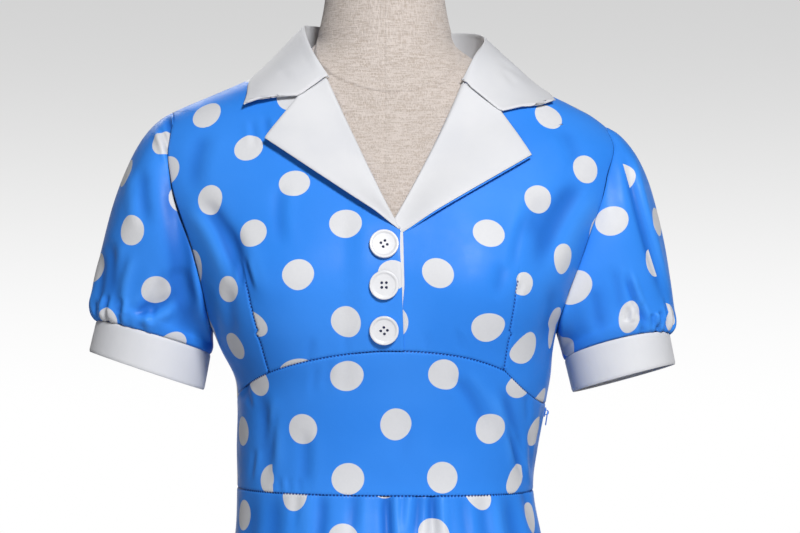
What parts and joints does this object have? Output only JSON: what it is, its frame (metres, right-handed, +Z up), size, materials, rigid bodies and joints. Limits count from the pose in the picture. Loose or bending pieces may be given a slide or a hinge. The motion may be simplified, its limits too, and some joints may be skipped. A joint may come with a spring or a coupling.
{
  "type": "a-line dress on dress form",
  "caption": "Short-sleeved a-line dress with notched collar and button front, shown on a limbless dress form on a round base stand.",
  "frame": {"origin": "on the floor, under the middle of the round base, on the axis of the pole", "axes": "+Z up, from the base to the neck; the dress faces -Y; +X is the wearer's left"},
  "size_m": [0.6098, 0.5753, 1.492],
  "materials": {
    "dress_cloth": "blue satin-faced cloth with white dots, soft sheen",
    "trim_cloth": "plain white cloth, matt",
    "buttons": "white, softly polished",
    "zip": "enamelled blue to match the cloth",
    "form_cover": "natural linen, slubbed plain weave, matt",
    "stand": "brushed"
  },
  "bodies": {
    "dress_on_form": {"bodice_front_right": "dress_cloth", "bodice_front_left": "dress_cloth", "bodice_back": "dress_cloth", "midriff_front": "dress_cloth", "midriff_back": "dress_cloth", "skirt_front": "dress_cloth", "skirt_back": "dress_cloth", "sleeve_right": "dress_cloth", "sleeve_left": "dress_cloth", "cuff_right": "trim_cloth", "cuff_left": "trim_cloth", "collar": "trim_cloth", "lapel_right": "trim_cloth", "lapel_left": "trim_cloth", "facing_edge": "trim_cloth", "button_1": "buttons", "button_2": "buttons", "button_3": "buttons", "zip_slider": "zip", "form_torso": "form_cover", "form_pole": "stand", "form_socket": "stand", "form_base": "stand"},
    "zip_pull": {"zip_pull": "zip"}
  },
  "joints": [
    {"name": "zip_pull_swing", "type": "hinge", "parent": "dress_on_form", "child": "zip_pull", "pos_m": [0.13982, -0.00002, 1.10435], "axis": [0, -1, 0], "range_deg": [-8, 150]}
  ]
}
